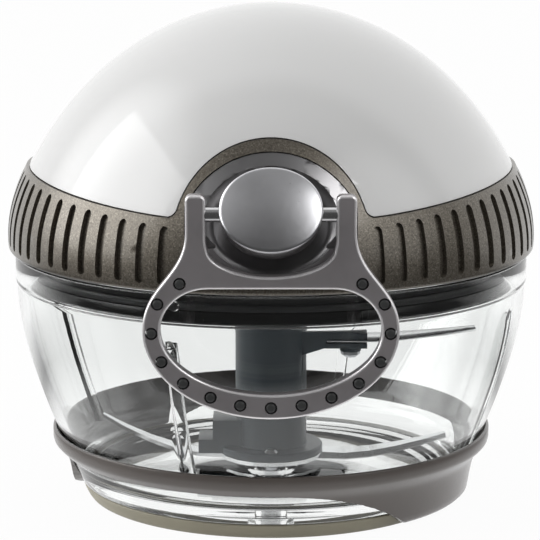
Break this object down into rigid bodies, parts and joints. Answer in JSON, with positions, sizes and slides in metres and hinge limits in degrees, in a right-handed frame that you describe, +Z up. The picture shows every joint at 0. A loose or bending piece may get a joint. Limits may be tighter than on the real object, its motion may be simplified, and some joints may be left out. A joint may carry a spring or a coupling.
{
  "type": "pull-cord food chopper",
  "caption": "Ball-shaped hand food chopper: clear bowl on a rubber foot, white dome lid with a ribbed grip collar, and a knob with an oval bail that pulls the cord to spin the blades.",
  "frame": {"origin": "on the axis of the bowl, at the underside of its spindle boss, 1 mm above the table the foot ring stands on", "axes": "+Z up along the bowl axis, -Y to the front, where the knob and the handle are, +X to the right as seen from the front"},
  "size_m": [0.1604, 0.1732, 0.151],
  "materials": {
    "clear_bowl": "clear moulded plastic, polished",
    "olive_rubber": "matt olive-grey rubber",
    "taupe_rubber": "satin dark taupe rubber",
    "stainless_steel": "ground and polished stainless steel",
    "zinc_steel": "zinc-plated screws",
    "spring_steel": "blued spring steel",
    "slate_plastic": "satin slate-grey moulded plastic",
    "natural_nylon": "natural off-white nylon",
    "black_plastic": "glossy black moulded plastic",
    "dark_rubber": "dark grey rubber",
    "bronze_grip": "speckled bronze-taupe lacquer on plastic",
    "white_cover": "glossy white moulded plastic",
    "gunmetal_plastic": "satin gunmetal lacquer on plastic",
    "satin_silver": "satin silver face",
    "cord_fibre": "braided off-white polyester cord"
  },
  "bodies": {
    "bowl": {"bowl": "clear_bowl", "foot_ring": "olive_rubber", "base_boot": "taupe_rubber", "spindle_pin": "stainless_steel"},
    "blades": {"blade_hub": "slate_plastic", "hub_bush_lower": "natural_nylon", "hub_bush_upper": "natural_nylon", "upper_blade": "stainless_steel", "lower_blade": "stainless_steel", "blade_screw": "stainless_steel", "blade_rivet_front": "stainless_steel", "blade_rivet_rear": "stainless_steel"},
    "lid": {"lid_base": "black_plastic", "lid_seal": "dark_rubber", "grip_collar": "bronze_grip", "dome_cover": "white_cover", "dome_screw_1": "zinc_steel", "dome_screw_2": "zinc_steel", "dome_screw_3": "zinc_steel", "pull_bezel": "gunmetal_plastic", "cord_eyelet": "stainless_steel", "reel_axle": "stainless_steel", "axle_retainer": "spring_steel", "spring_housing": "black_plastic", "housing_screw_1": "zinc_steel", "housing_screw_2": "zinc_steel", "housing_screw_3": "zinc_steel", "spring_cover": "black_plastic", "return_spring": "spring_steel", "pull_cord": "cord_fibre"},
    "spool": {"cord_spool": "natural_nylon", "cord_winding": "cord_fibre"},
    "drive": {"drive_coupling": "slate_plastic", "clutch_pawl_1": "stainless_steel", "clutch_pawl_2": "stainless_steel", "clutch_pawl_3": "stainless_steel"},
    "knob": {"knob_body": "gunmetal_plastic", "knob_cap": "satin_silver", "handle_axle": "stainless_steel"},
    "handle": {"handle_frame": "gunmetal_plastic", "grip_insert": "dark_rubber"}
  },
  "joints": [
    {"name": "lid_lift", "type": "slide", "parent": "bowl", "child": "lid", "axis": [0, 0, 1], "range_m": [0, 0.06]},
    {"name": "cord_pull", "type": "slide", "parent": "lid", "child": "knob", "axis": [0, -1, 0], "range_m": [0, 0.33], "stiffness_N_per_m": 12, "springref_m": -0.15, "deforming": ["pull_cord"]},
    {"name": "handle_hinge", "type": "hinge", "parent": "knob", "child": "handle", "pos_m": [0, -0.0835, 0.1008], "axis": [-1, 0, 0], "range_deg": [0, 150]},
    {"name": "spool_spin", "type": "hinge", "parent": "lid", "child": "spool", "pos_m": [0, 0, 0.097], "axis": [0, 0, 1], "range_deg": [0, 860], "deforming": ["return_spring"]},
    {"name": "drive_spin", "type": "hinge", "parent": "lid", "child": "drive", "pos_m": [0, 0, 0.081], "axis": [0, 0, 1], "range_deg": [0, 860]},
    {"name": "blade_spin", "type": "hinge", "parent": "bowl", "child": "blades", "pos_m": [0, 0, 0.03], "axis": [0, 0, 1], "range_deg": [0, 860]}
  ],
  "couplings": [
    {"joint": "spool_spin", "follows": "cord_pull", "rad_per_m": 45.455},
    {"joint": "drive_spin", "follows": "cord_pull", "rad_per_m": 45.455},
    {"joint": "blade_spin", "follows": "cord_pull", "rad_per_m": 45.455}
  ]
}
